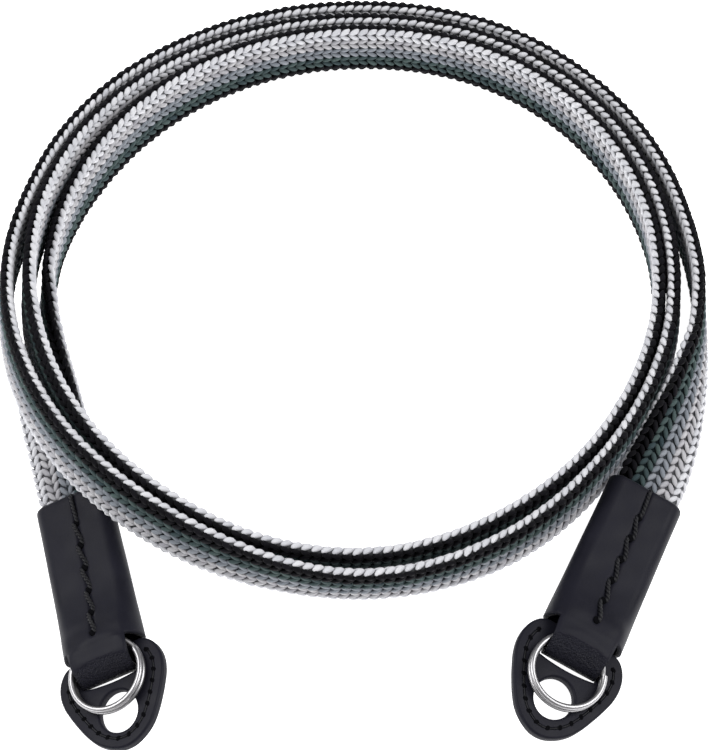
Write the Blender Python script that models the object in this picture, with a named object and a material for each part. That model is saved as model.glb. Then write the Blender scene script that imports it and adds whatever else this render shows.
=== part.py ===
"""Coiled camera strap: a flat knitted tube wound on its edge, with a leather sleeve,
a split ring and a leather flap at each end.

Metres, +Z up.  The coil stands on its lower edge on the plane z = 0.  Seen from above the
strap runs clockwise from its left end to its right end, and the coil opens outwards.
"""
import math

import bmesh
import bpy
import numpy as np
from mathutils import Matrix, Vector

MM = 0.001

# strap
STRAP_WIDTH = 14.5 * MM
STRAP_THICKNESS = 2.8 * MM
STATION_STEP = 6.0 * MM         # length of strap between two sections
COIL_RADIUS = 62.5 * MM         # innermost turn, at half the strap's height
TURN_GAP = 0.3 * MM             # free space between two turns that touch
TURNS_SEEN = 2.5                # from where the left tail leaves to where the right one does
CROSSING_HEIGHT = 10.0 * MM     # height of the lower edge where a turn rides over a tail
LEFT_TAIL_RUN = 48.7 * MM       # from the coil's left side to the left sleeve
RIGHT_TAIL_RUN = 47.0 * MM      # from the coil's right side to the right sleeve
HEIGHT_EASE_RUN = 19.0 * MM     # where a tail's height passes into its sleeve's

# sleeve and its folded tab
SLEEVE_LENGTH = 34.4 * MM
SLEEVE_WALL = 1.2 * MM
STRAP_IN_SLEEVE = 23.0 * MM
STRAP_SQUEEZE = 0.5 * MM        # the knit is that much narrower on each side in the sleeve
STRAP_PRESS = 0.125 * MM        # and that much thinner on each side
FIT_GAP = 0.3 * MM
LOOP_DEPTH = 5.0 * MM           # the loop for the ring reaches that far into the sleeve
LOOP_ROOM = 0.78 * MM           # free height in the loop, the ring's own height left out
TAB_WIDTH = 12.4 * MM
TAB_FOLD_WIDTH = 11.0 * MM
TAB_REACH_LEFT = 6.5 * MM       # from the sleeve's end to the fold
TAB_REACH_RIGHT = 7.6 * MM
SLEEVE_ROLL_LEFT = 23.5         # degrees that the end fittings lie off the level
SLEEVE_ROLL_RIGHT = 16.0

# flap
FLAP_THICKNESS = 2.2 * MM
FLAP_DROP = 0.6 * MM            # middle of the flap below the middle of the sleeve
FLAP_EDGE_ROUND = 0.5 * MM
FLAP_LENGTH_LEFT = 20.8 * MM    # beyond the sleeve's end
FLAP_LENGTH_RIGHT = 23.0 * MM
FLAP_WIDTH = 22.4 * MM
FLAP_START = 0.35 * MM          # from the sleeve's end to the flap's straight edge
FLAP_HOLE_LENGTH = 8.6 * MM
FLAP_HOLE_WIDTH = 8.0 * MM
FLAP_HOLE_PLACE = 0.63          # hole's centre as a share of the flap's reach from its edge
SLOT_LENGTH = 12.2 * MM
SLOT_BEFORE_FOLD = 1.5 * MM     # room in the slot on the sleeve's side of the folded leather
SLOT_BEYOND_FOLD = 1.2 * MM     # room in the slot on the other side

# split ring
RING_DIAMETER = 15.8 * MM
RING_WIRE = 1.2 * MM
RING_COIL_GAP = 0.12 * MM
RING_TURNS = 1.92
RING_POINTS = 34                # points in one turn of the wire
RING_PLACE_LEFT = 5.9 * MM      # ring's centre, beyond the sleeve's end
RING_PLACE_RIGHT = 9.2 * MM
RING_SPLIT_ANGLE = 140          # where the wire's lower end lies, in degrees

# fineness of the faceted faces
STRAP_ARC_POINTS = 5            # points on a round edge of the strap's section
SLEEVE_ARC_POINTS = 7
BEND_POINTS = 9                 # points round the tab's fold
HOLE_POINTS = 24
ROUTE_STEP = 7.5                # degrees of winding between two points of the route
MERGE_DISTANCE = 0.01 * MM

# place of a sleeve's section as a share of its length from the mouth, soft edge as a share
# of the wall, share of the swelling over the ring, width as a share of the sleeve's
SLEEVE_SECTIONS = [
    (0.0, 0.35, 0.0, 0.98), (0.012, 0.0, 0.0, 0.98), (0.50, 0.0, 0.0, 1.0), (0.70, 0.0, 0.10, 1.01),
    (0.82, 0.0, 0.42, 1.02), (0.91, 0.0, 0.85, 1.03), (0.988, 0.0, 1.0, 1.035), (1.0, 0.35, 1.0, 1.035),
]

# centre line of the tab beyond the bend, as shares of its reach
TAB_BEND_START = 0.58
TAB_RETURN = 0.15
TAB_ROOT = 0.3                  # how far the tab runs back into the sleeve, share of LOOP_DEPTH

# place in the loop's room as a share of its depth from the sleeve's end, share of the swelling
LOOP_SECTIONS = [(1.0, 0.2), (0.55, 0.85), (0.08, 1.0)]

# flap's outline: share of its length, share of its half width
FLAP_SECTIONS = [
    (0.0, 0.66), (0.03, 0.79), (0.10, 0.91), (0.19, 0.98), (0.29, 1.0), (0.40, 0.97), (0.52, 0.89),
    (0.64, 0.79), (0.76, 0.67), (0.87, 0.52), (0.95, 0.33), (1.0, 0.10),
]

# angle round the coil from its left side in degrees, radius as a share of COIL_RADIUS,
# lean of the strap's top edge outwards in degrees
RING_SECTIONS = [
    (0, 1.020, -6), (30, 0.999, 3), (60, 0.988, 3), (90, 0.990, 0),
    (120, 1.012, 0), (150, 1.011, 0), (180, 0.998, -5), (210, 0.976, -2),
    (240, 0.983, 0), (270, 0.995, 8), (300, 1.017, -7), (330, 1.023, -11),
]

# winding angle from the left side in degrees, extra layers beyond the even spiral
SPREAD_SECTIONS = [
    (-90, 0.0), (240, 0.0), (270, 0.20), (300, 0.42), (330, 0.23), (345, 0.02), (360, 0.0),
    (375, 0.08), (390, 0.15), (405, 0.11), (420, 0.0), (570, 0.03), (585, 0.12), (600, 0.43),
    (630, 0.80), (645, 0.60), (660, 0.50), (690, 0.64), (720, 0.45), (735, 0.13), (750, 0.15),
    (765, 0.12), (780, 0.0), (810, 0.05), (840, 0.12), (870, 0.18), (885, 0.30), (900, 0.65),
]

# winding angle in degrees, height of the lower edge as a share of CROSSING_HEIGHT
LIFT_SECTIONS = [
    (-90, 0.0), (220, 0.0), (250, 0.10), (270, 0.26), (290, 0.56), (303, 0.84), (315, 0.95),
    (330, 0.95), (345, 0.89), (355, 0.79), (368, 0.62), (382, 0.43), (400, 0.24), (420, 0.09),
    (440, 0.02), (455, 0.0), (560, 0.0), (585, 0.06), (610, 0.18), (640, 0.50), (657, 0.84),
    (670, 1.0), (690, 0.95), (705, 0.82), (720, 0.62), (750, 0.30), (780, 0.12), (810, 0.02),
    (830, 0.0), (1000, 0.0),
]

# how far along the tail, step outwards as a share of STRAP_WIDTH, lean in degrees
LEFT_TAIL_SECTIONS = [
    (0.10, 0.01, -16), (0.21, 0.03, -28), (0.34, 0.01, -43), (0.46, -0.05, -56),
    (0.59, -0.15, -63), (0.71, -0.27, -66), (0.85, -0.395, -67), (1.0, -0.52, -68),
]
RIGHT_TAIL_SECTIONS = [
    (0.14, -0.01, -9), (0.28, -0.06, -14), (0.42, -0.17, -24), (0.56, -0.31, -34),
    (0.70, -0.49, -47), (0.85, -0.693, -62), (1.0, -0.912, -74),
]


def smooth_through(rows, column, place):
    """Read a column of a table at a place, on a smooth curve through its rows."""
    xs = np.array([row[0] for row in rows], float)
    ys = np.array([row[column] for row in rows], float)
    slopes = np.gradient(ys, xs)
    i = int(np.clip(np.searchsorted(xs, place) - 1, 0, len(xs) - 2))
    span = xs[i + 1] - xs[i]
    t = (place - xs[i]) / span
    return float((2 * t**3 - 3 * t**2 + 1) * ys[i] + (t**3 - 2 * t**2 + t) * span * slopes[i]
                 + (3 * t**2 - 2 * t**3) * ys[i + 1] + (t**3 - t**2) * span * slopes[i + 1])


def ring_value(angle, column):
    """A column of RING_SECTIONS, read round and round."""
    around = []
    for turn in (-360, 0, 360):
        around += [(row[0] + turn,) + row[1:] for row in RING_SECTIONS]
    return smooth_through(around, column, angle % 360)


def coil_point(angle):
    """Plan place, lean and lift of the strap at one winding angle."""
    layer = STRAP_THICKNESS + TURN_GAP
    spread = max(smooth_through(SPREAD_SECTIONS, 1, angle), 0.0)
    radius = COIL_RADIUS * ring_value(angle, 1) + layer * (angle / 360 + spread)
    lift = CROSSING_HEIGHT * max(smooth_through(LIFT_SECTIONS, 1, angle), 0.0)
    compass = math.radians(180 - angle)
    return radius * math.cos(compass), radius * math.sin(compass), ring_value(angle, 2), lift


def tail_points(angle, heading, run, sections):
    """Points of a tail that leaves the coil at a winding angle, nearest the coil first."""
    x, y, _, lift = coil_point(angle)
    outward = Vector((x, y)).normalized()
    points = []
    for share, step, lean in sections:
        place = Vector((x, y)) + heading * (run * share) + outward * (STRAP_WIDTH * step)
        points.append((place.x, place.y, lean, lift * (1 - share)))
    return points


def strap_route():
    """Control points of the whole strap, from the left sleeve to the right one."""
    towards_viewer = Vector((0, -1))
    last_angle = 360 * TURNS_SEEN
    left = tail_points(0, towards_viewer, LEFT_TAIL_RUN, LEFT_TAIL_SECTIONS)
    right = tail_points(last_angle, towards_viewer, RIGHT_TAIL_RUN, RIGHT_TAIL_SECTIONS)
    coil = [coil_point(angle) for angle in np.arange(0, last_angle + 1, ROUTE_STEP)]
    return left[::-1] + coil + right


def sleeve_thickness():
    return STRAP_THICKNESS + 2 * (FIT_GAP + SLEEVE_WALL - STRAP_PRESS)


def sleeve_width():
    return STRAP_WIDTH + 2 * (FIT_GAP + SLEEVE_WALL - STRAP_SQUEEZE)


def rest_height(width, thickness, lean):
    """Height of a flat section's middle when its lower edge touches the surface."""
    return thickness / 2 + (width - thickness) / 2 * abs(math.cos(math.radians(lean)))


def mouth_height(roll_degrees):
    """Height of a sleeve's middle at its mouth, where its lower edge touches the surface."""
    return rest_height(sleeve_width(), sleeve_thickness(), 90 - roll_degrees)


def fittings_height(roll_degrees):
    """Height of a sleeve's middle at its end, where the tab or the flap touches the surface."""
    roll = math.radians(roll_degrees)
    tab = TAB_WIDTH / 2 * math.sin(roll) + (SLEEVE_WALL - loop_bottom()) * math.cos(roll)
    flap = FLAP_WIDTH / 2 * math.sin(roll) + (FLAP_THICKNESS / 2 + FLAP_DROP) * math.cos(roll)
    return max(mouth_height(roll_degrees), tab, flap)


def strap_stations():
    """Even stations along the strap: place of the middle and lean."""
    route = strap_route()
    plan = np.array([point[:2] for point in route])
    run = np.concatenate([[0], np.cumsum(np.linalg.norm(np.diff(plan, axis=0), axis=1))])
    tables = [[(run[i], route[i][column]) for i in range(len(route))] for column in range(4)]
    length = run[-1]
    count = int(round(length / STATION_STEP))
    stations = []
    for k in range(count + 1):
        s = length * k / count
        x, y, lean, lift = (smooth_through(table, 1, s) for table in tables)
        resting = rest_height(STRAP_WIDTH, STRAP_THICKNESS, lean)
        roll = SLEEVE_ROLL_LEFT if s < length / 2 else SLEEVE_ROLL_RIGHT
        in_sleeve = mouth_height(roll)
        near_end = max(0.0, 1 - min(s, length - s) / HEIGHT_EASE_RUN)
        ease = near_end**2 * (3 - 2 * near_end)
        z = (resting + lift) * (1 - ease) + in_sleeve * ease
        stations.append((Vector((x, y, z)), lean))
    return stations


def section_frames(stations):
    """Middle, direction of run, direction across and face direction of each station."""
    frames = []
    last = len(stations) - 1
    for i, (middle, lean) in enumerate(stations):
        along = (stations[min(i + 1, last)][0] - stations[max(i - 1, 0)][0]).normalized()
        level = Vector((along.x, along.y, 0)).normalized()
        outward = Vector((-level.y, level.x, 0))
        turn = math.radians(lean)
        across = outward * math.sin(turn) + Vector((0, 0, math.cos(turn)))
        across = (across - along * across.dot(along)).normalized()
        frames.append((middle, along, across, along.cross(across)))
    return frames


def sleeve_frame(frame, outwards, roll):
    """A sleeve's frame at a strap end: its mouth on the surface, its end on the flap."""
    middle, along, across, _ = frame
    level = Vector((along.x, along.y, 0)).normalized()
    rise = fittings_height(roll) - mouth_height(roll)
    along = (level * SLEEVE_LENGTH + Vector((0, 0, outwards * rise))).normalized()
    across = (across - along * across.dot(along)).normalized()
    return middle, along, across, along.cross(across)


def collection_named(name):
    collection = bpy.data.collections.new(name)
    bpy.context.scene.collection.children.link(collection)
    return collection


def finish_material(name, colour, roughness, metallic=0.0):
    material = bpy.data.materials.new(name)
    material.use_nodes = True
    shader = material.node_tree.nodes["Principled BSDF"]
    shader.inputs["Base Color"].default_value = (*colour, 1)
    shader.inputs["Roughness"].default_value = roughness
    shader.inputs["Metallic"].default_value = metallic
    return material


def mesh_object(name, bm, collection, material=None):
    bmesh.ops.recalc_face_normals(bm, faces=bm.faces)
    mesh = bpy.data.meshes.new(name)
    bm.to_mesh(mesh)
    bm.free()
    mesh.shade_smooth()
    mesh.set_sharp_from_angle(angle=math.radians(35))
    if material:
        mesh.materials.append(material)
    piece = bpy.data.objects.new(name, mesh)
    collection.objects.link(piece)
    return piece


def stadium(width, thickness, arc_points):
    """Flat section with round edges: (across, through) pairs, counter-clockwise."""
    round_radius = thickness / 2
    straight = width / 2 - round_radius
    points = []
    for side in (1, -1):
        for k in range(arc_points):
            angle = math.pi * k / (arc_points - 1) - math.pi / 2
            points.append((side * (straight + round_radius * math.cos(angle)),
                           side * round_radius * math.sin(angle)))
        points.append((0.0, side * round_radius))
    return points


def loft(bm, rings):
    """Skin a row of closed sections and close both ends."""
    rows = [[bm.verts.new(point) for point in ring] for ring in rings]
    for first, second in zip(rows, rows[1:]):
        for k in range(len(first)):
            after = (k + 1) % len(first)
            bm.faces.new((first[k], first[after], second[after], second[k]))
    bm.faces.new(rows[0][::-1])
    bm.faces.new(rows[-1])


def make_strap(collection, material, frames):
    """The knitted tube in one solid; its ends run on into the sleeves."""
    body = stadium(STRAP_WIDTH, STRAP_THICKNESS, STRAP_ARC_POINTS)
    squeezed = stadium(STRAP_WIDTH - 2 * STRAP_SQUEEZE, STRAP_THICKNESS - 2 * STRAP_PRESS,
                       STRAP_ARC_POINTS)

    def ring_at(place, across, through, points):
        return [place + across * u + through * v for u, v in points]

    rings = [ring_at(middle, across, through, body) for middle, _, across, through in frames]
    for end, direction, roll in ((0, -1, SLEEVE_ROLL_LEFT), (-1, 1, SLEEVE_ROLL_RIGHT)):
        middle, along, across, through = sleeve_frame(frames[end], direction, roll)
        mouth = ring_at(middle, across, through, squeezed)
        tip = ring_at(middle + along * (direction * STRAP_IN_SLEEVE), across, through, squeezed)
        rings[end] = mouth
        rings = [tip] + rings if end == 0 else rings + [tip]
    bm = bmesh.new()
    loft(bm, rings)
    return mesh_object("strap", bm, collection, material)


def cut(piece, cutter):
    modifier = piece.modifiers.new("cut " + cutter.name, "BOOLEAN")
    modifier.operation = "DIFFERENCE"
    modifier.object = cutter
    modifier.solver = "EXACT"


def join(piece, other):
    modifier = piece.modifiers.new("join " + other.name, "BOOLEAN")
    modifier.operation = "UNION"
    modifier.object = other
    modifier.solver = "EXACT"


def as_cutter(piece):
    piece.hide_render = True
    piece.display_type = "WIRE"
    return piece


def ring_height():
    """Thickness of the split ring where its two turns lie on each other."""
    return 2 * RING_WIRE + RING_COIL_GAP


def loop_top():
    """Inside height of the leather loop, over the ring that lies on the flap."""
    return FLAP_THICKNESS / 2 - FLAP_DROP + ring_height() + LOOP_ROOM


def loop_bottom():
    """Inside height of the leather loop, under the flap."""
    return -FLAP_THICKNESS / 2 - FLAP_DROP - FIT_GAP


def swelling():
    """How far the sleeve's top face rises over the ring."""
    return max(loop_top() + SLEEVE_WALL - sleeve_thickness() / 2, 0.0)


def tab_profile(reach):
    """Middle line of the folded tab: out over the ring, down through the slot and back."""
    half_wall = SLEEVE_WALL / 2
    top = loop_top() + half_wall
    bottom = loop_bottom() - half_wall
    wall_bottom = half_wall - sleeve_thickness() / 2
    bend_start = TAB_BEND_START * reach
    bend_reach = reach - half_wall - bend_start
    middle = (top + bottom) / 2
    bend_height = (top - bottom) / 2
    root = -TAB_ROOT * LOOP_DEPTH
    points = [(root, top), (0.0, top), (bend_start / 2, top)]
    for k in range(BEND_POINTS):
        angle = math.pi / 2 - math.pi * k / (BEND_POINTS - 1)
        points.append((bend_start + bend_reach * math.cos(angle),
                       middle + bend_height * math.sin(angle)))
    points += [(TAB_RETURN * reach, bottom), (root, wall_bottom)]
    return points


def tab_width_at(along, reach):
    share = min(max(along / reach, 0.0), 1.0)
    return TAB_WIDTH + (TAB_FOLD_WIDTH - TAB_WIDTH) * share


def make_tab(name, collection, reach):
    """The folded strip of leather as one bent band, in the sleeve's own frame."""
    line = tab_profile(reach)
    bm = bmesh.new()
    rings = []
    for i, (along, height) in enumerate(line):
        ahead = line[min(i + 1, len(line) - 1)]
        behind = line[max(i - 1, 0)]
        direction = Vector((ahead[0] - behind[0], ahead[1] - behind[1])).normalized()
        normal = Vector((-direction.y, direction.x))
        half_width = tab_width_at(along, reach) / 2
        ring = []
        for side, face in ((-1, -1), (1, -1), (1, 1), (-1, 1)):
            ring.append((along + normal.x * face * SLEEVE_WALL / 2, side * half_width,
                         height + normal.y * face * SLEEVE_WALL / 2))
        rings.append(ring)
    loft(bm, rings)
    return as_cutter(mesh_object(name, bm, collection))


def swollen(section, half_width, rise):
    """Raise the upper side of a flat section, least at its edges."""
    raised = []
    for u, v in section:
        lift = rise * (1 - min(abs(u) / half_width, 1.0)**6) if v > 0 else 0.0
        raised.append((u, v + lift))
    return raised


def make_room(name, collection, places, width, thickness):
    """Cutter for a space in the sleeve: (along, rise) places with one flat section."""
    bm = bmesh.new()
    section = stadium(width, thickness, SLEEVE_ARC_POINTS)
    loft(bm, [[(x, u, v) for u, v in swollen(section, width / 2, rise)] for x, rise in places])
    return as_cutter(mesh_object(name, bm, collection))


def make_sleeve(name, collection, cutters, tab_reach, material):
    """Leather sleeve: a flat tube from -SLEEVE_LENGTH to 0 along X, with the folded tab beyond."""
    width = sleeve_width()
    thickness = sleeve_thickness()
    section = stadium(width, thickness, SLEEVE_ARC_POINTS)
    bm = bmesh.new()
    rings = []
    for share, soft, swell, wide in SLEEVE_SECTIONS:
        inset = soft * SLEEVE_WALL
        x = SLEEVE_LENGTH * (share - 1)
        outline = swollen(section, width / 2, swelling() * swell)
        rings.append([(x, u * wide * (1 - 2 * inset / width), v * (1 - 2 * inset / thickness))
                      for u, v in outline])
    loft(bm, rings)
    sleeve = mesh_object(name, bm, collection, material)
    inner_width = width - 2 * SLEEVE_WALL
    inner_thickness = thickness - 2 * SLEEVE_WALL
    beyond = 2 * SLEEVE_WALL
    pocket_end = STRAP_IN_SLEEVE + FIT_GAP - SLEEVE_LENGTH
    pocket = make_room(name + "_pocket", cutters, ((-SLEEVE_LENGTH - beyond, 0), (pocket_end, 0)),
                       inner_width, inner_thickness)
    rise = swelling()
    places = [(-LOOP_DEPTH * share, rise * swell) for share, swell in LOOP_SECTIONS]
    loop = make_room(name + "_loop", cutters, places + [(beyond, rise)], inner_width, inner_thickness)
    cut(sleeve, pocket)
    cut(sleeve, loop)
    join(sleeve, make_tab(name + "_tab", cutters, tab_reach))
    return sleeve


def flap_outline(length):
    """Corners of the flap seen from above: along from the sleeve's end, across."""
    half = FLAP_WIDTH / 2
    reach = length - FLAP_START
    upper = [(FLAP_START + reach * along, half * across) for along, across in FLAP_SECTIONS]
    return upper + [(along, -across) for along, across in reversed(upper)]


def ellipse_outline(middle, half_along, half_across, count):
    return [(middle + half_along * math.cos(2 * math.pi * k / count),
             half_across * math.sin(2 * math.pi * k / count)) for k in range(count)]


def slot_outline(tab_reach):
    """The slot is as long as the folded tab is wide, with a gap, and wide enough for its leather."""
    half_long = max(SLOT_LENGTH, TAB_FOLD_WIDTH + 2 * FIT_GAP) / 2
    near = tab_reach - SLEEVE_WALL - SLOT_BEFORE_FOLD
    far = tab_reach + SLOT_BEYOND_FOLD
    return [(near, -half_long), (near, half_long), (far, half_long), (far, -half_long)]


def make_flap(name, collection, length, tab_reach, material):
    """Leather flap between the loop and the camera, cut from sheet with softened edges."""
    curve = bpy.data.curves.new(name, "CURVE")
    curve.dimensions = "2D"
    curve.fill_mode = "BOTH"
    curve.extrude = FLAP_THICKNESS / 2 - FLAP_EDGE_ROUND
    curve.bevel_depth = FLAP_EDGE_ROUND
    curve.bevel_resolution = 1
    curve.offset = -FLAP_EDGE_ROUND
    hole_place = FLAP_START + (length - FLAP_START) * FLAP_HOLE_PLACE
    hole = ellipse_outline(hole_place, FLAP_HOLE_LENGTH / 2, FLAP_HOLE_WIDTH / 2, HOLE_POINTS)
    for outline in (flap_outline(length), hole, slot_outline(tab_reach)):
        spline = curve.splines.new("POLY")
        spline.points.add(len(outline) - 1)
        for point, (along, across) in zip(spline.points, outline):
            point.co = (along, across, 0, 1)
        spline.use_cyclic_u = True
    maker = bpy.data.objects.new(name + "_outline", curve)
    collection.objects.link(maker)
    bpy.context.view_layer.update()
    evaluated = maker.evaluated_get(bpy.context.evaluated_depsgraph_get())
    mesh = bpy.data.meshes.new_from_object(evaluated)
    bm = bmesh.new()
    bm.from_mesh(mesh)
    bmesh.ops.remove_doubles(bm, verts=bm.verts, dist=MERGE_DISTANCE)
    bpy.data.objects.remove(maker)
    bpy.data.meshes.remove(mesh)
    return mesh_object(name, bm, collection, material)


def make_ring(name, collection, material):
    """Split ring: nearly two turns of round wire, one on the other, in the XY plane."""
    curve = bpy.data.curves.new(name, "CURVE")
    curve.dimensions = "3D"
    curve.bevel_depth = RING_WIRE / 2
    curve.bevel_resolution = 2
    curve.use_fill_caps = True
    count = int(RING_POINTS * RING_TURNS)
    radius = (RING_DIAMETER - RING_WIRE) / 2
    step_start = RING_TURNS - 1     # the wire steps up beside its own upper end
    spline = curve.splines.new("POLY")
    spline.points.add(count)
    for k, point in enumerate(spline.points):
        turn = RING_TURNS * k / count
        angle = 2 * math.pi * turn
        step = min(max((turn - step_start) / (1 - step_start), 0.0), 1.0)
        height = (RING_WIRE + RING_COIL_GAP) * (step * step * (3 - 2 * step) - 0.5)
        point.co = (radius * math.cos(angle), radius * math.sin(angle), height, 1)
    maker = bpy.data.objects.new(name + "_wire", curve)
    collection.objects.link(maker)
    bpy.context.view_layer.update()
    evaluated = maker.evaluated_get(bpy.context.evaluated_depsgraph_get())
    mesh = bpy.data.meshes.new_from_object(evaluated)
    bm = bmesh.new()
    bm.from_mesh(mesh)
    bmesh.ops.remove_doubles(bm, verts=bm.verts, dist=MERGE_DISTANCE)
    bpy.data.objects.remove(maker)
    bpy.data.meshes.remove(mesh)
    return mesh_object(name, bm, collection, material)


def end_matrix(frame, outwards, roll):
    """Place of a sleeve's end: X runs on out of the coil, Z is up out of its top face."""
    middle, along, across, _ = sleeve_frame(frame, outwards, roll)
    run = along * outwards
    up = run.cross(across)
    if up.z < 0:
        up = -up
    side = up.cross(run)
    place = middle + run * SLEEVE_LENGTH
    return Matrix.Translation(place) @ Matrix((run, side, up)).transposed().to_4x4()


def set_on_origin(pieces, followers):
    """Move everything so that the middle of the bounding box's base is the origin."""
    bpy.context.view_layer.update()
    depsgraph = bpy.context.evaluated_depsgraph_get()
    corners = []
    for piece in pieces:
        mesh = piece.evaluated_get(depsgraph).to_mesh()
        corners += [piece.matrix_world @ vertex.co for vertex in mesh.vertices]
    corners = np.array(corners)
    low, high = corners.min(axis=0), corners.max(axis=0)
    base = Vector(((low[0] + high[0]) / 2, (low[1] + high[1]) / 2, low[2]))
    for piece in list(pieces) + list(followers):
        piece.matrix_world = Matrix.Translation(-base) @ piece.matrix_world


def main():
    for old in list(bpy.data.objects):
        bpy.data.objects.remove(old)
    parts = collection_named("coiled_camera_strap")
    cutters = collection_named("cutters")
    knit = finish_material("knitted yarn", (0.42, 0.43, 0.45), 0.85)
    leather = finish_material("black leather", (0.018, 0.018, 0.022), 0.5)
    steel = finish_material("polished steel", (0.62, 0.62, 0.63), 0.22, 1.0)

    frames = section_frames(strap_stations())
    pieces = [make_strap(parts, knit, frames)]
    # side, strap end, run out of the coil, roll, tab's reach, ring's place, flap's length
    ends = (("left", 0, -1, SLEEVE_ROLL_LEFT, TAB_REACH_LEFT, RING_PLACE_LEFT, FLAP_LENGTH_LEFT),
            ("right", -1, 1, SLEEVE_ROLL_RIGHT, TAB_REACH_RIGHT, RING_PLACE_RIGHT, FLAP_LENGTH_RIGHT))
    for side, end, outwards, roll, tab_reach, ring_place, flap_length in ends:
        seat = end_matrix(frames[end], outwards, roll)
        sleeve = make_sleeve("sleeve_" + side, parts, cutters, tab_reach, leather)
        flap = make_flap("flap_" + side, parts, flap_length, tab_reach, leather)
        ring = make_ring("ring_" + side, parts, steel)
        lying = FLAP_THICKNESS / 2 - FLAP_DROP + FIT_GAP + ring_height() / 2
        turned = Matrix.Rotation(math.radians(RING_SPLIT_ANGLE), 4, "Z")
        ring.matrix_world = seat @ Matrix.Translation((ring_place, 0, lying)) @ turned
        flap.matrix_world = seat @ Matrix.Translation((0, 0, -FLAP_DROP))
        sleeve.matrix_world = seat
        for cutter in cutters.objects:
            if cutter.name.startswith(sleeve.name):
                cutter.matrix_world = seat
        pieces += [sleeve, flap, ring]
    set_on_origin(pieces, cutters.objects)


main()
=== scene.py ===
import math

import bmesh
import bpy
import numpy as np
from mathutils import Matrix, Vector


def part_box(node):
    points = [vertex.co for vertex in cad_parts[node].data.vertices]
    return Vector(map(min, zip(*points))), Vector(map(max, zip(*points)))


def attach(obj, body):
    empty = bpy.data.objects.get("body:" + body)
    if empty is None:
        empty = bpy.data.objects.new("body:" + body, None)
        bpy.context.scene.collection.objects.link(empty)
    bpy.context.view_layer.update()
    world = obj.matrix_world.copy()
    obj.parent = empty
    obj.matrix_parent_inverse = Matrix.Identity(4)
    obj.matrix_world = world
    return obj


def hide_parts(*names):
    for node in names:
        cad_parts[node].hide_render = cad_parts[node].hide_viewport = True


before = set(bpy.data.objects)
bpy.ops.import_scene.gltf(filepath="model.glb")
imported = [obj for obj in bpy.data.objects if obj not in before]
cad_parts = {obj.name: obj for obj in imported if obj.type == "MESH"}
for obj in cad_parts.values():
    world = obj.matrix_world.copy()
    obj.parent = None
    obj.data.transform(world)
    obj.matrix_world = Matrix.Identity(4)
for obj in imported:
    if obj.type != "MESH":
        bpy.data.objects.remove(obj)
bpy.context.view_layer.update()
mm = 0.001
print("frame loaded")

# the strap's route, with the same tables as the part
route = {
    "width": 14.5,
    "thickness": 2.8,
    "stationStep": 6.0,
    "coilRadius": 62.5,         # innermost turn at half height
    "turnGap": 0.3,
    "turnsSeen": 2.5,
    "crossingHeight": 10.0,
    "leftTailRun": 48.7,
    "rightTailRun": 47.0,
    "heightEase": 19.0,         # where a tail's height passes into its sleeve's
    "routeStep": 7.5,           # degrees
    # angle round the coil, radius share, lean
    "ring": [
        (0, 1.020, -6), (30, 0.999, 3), (60, 0.988, 3), (90, 0.990, 0),
        (120, 1.012, 0), (150, 1.011, 0), (180, 0.998, -5), (210, 0.976, -2),
        (240, 0.983, 0), (270, 0.995, 8), (300, 1.017, -7), (330, 1.023, -11),
    ],
    # winding angle, extra layers
    "spread": [
        (-90, 0.0), (240, 0.0), (270, 0.20), (300, 0.42), (330, 0.23), (345, 0.02), (360, 0.0),
        (375, 0.08), (390, 0.15), (405, 0.11), (420, 0.0), (570, 0.03), (585, 0.12), (600, 0.43),
        (630, 0.80), (645, 0.60), (660, 0.50), (690, 0.64), (720, 0.45), (735, 0.13), (750, 0.15),
        (765, 0.12), (780, 0.0), (810, 0.05), (840, 0.12), (870, 0.18), (885, 0.30), (900, 0.65),
    ],
    # winding angle, lift as a share of the crossing's height
    "lift": [
        (-90, 0.0), (220, 0.0), (250, 0.10), (270, 0.26), (290, 0.56), (303, 0.84), (315, 0.95),
        (330, 0.95), (345, 0.89), (355, 0.79), (368, 0.62), (382, 0.43), (400, 0.24), (420, 0.09),
        (440, 0.02), (455, 0.0), (560, 0.0), (585, 0.06), (610, 0.18), (640, 0.50), (657, 0.84),
        (670, 1.0), (690, 0.95), (705, 0.82), (720, 0.62), (750, 0.30), (780, 0.12), (810, 0.02),
        (830, 0.0), (1000, 0.0),
    ],
    # run share, step outwards as a share of the width, lean
    "leftTail": [
        (0.10, 0.01, -16), (0.21, 0.03, -28), (0.34, 0.01, -43), (0.46, -0.05, -56),
        (0.59, -0.15, -63), (0.71, -0.27, -66), (0.85, -0.395, -67), (1.0, -0.52, -68),
    ],
    "rightTail": [
        (0.14, -0.01, -9), (0.28, -0.06, -14), (0.42, -0.17, -24), (0.56, -0.31, -34),
        (0.70, -0.49, -47), (0.85, -0.693, -62), (1.0, -0.912, -74),
    ],
}

# sizes that the sleeves, tabs, flaps and rings share
leatherEnds = {
    "sleeveLength": 34.4,
    "wall": 1.2,
    "fitGap": 0.3,
    "loopRoom": 0.78,           # free height over the ring in the loop
    "strapSqueeze": 0.5,        # the knit is that much narrower on each side in the sleeve
    "strapPress": 0.125,        # and that much thinner on each side
    "tabWidth": 12.4,
    "flapThickness": 2.2,
    "flapDrop": 0.6,            # middle of the flap below the middle of the sleeve
    "flapWidth": 22.4,
    "flapStart": 0.35,          # from the sleeve's end to the flap's straight edge
    "ringDiameter": 15.8,
    "ringWire": 1.2,
    "ringCoilGap": 0.12,
}

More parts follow.
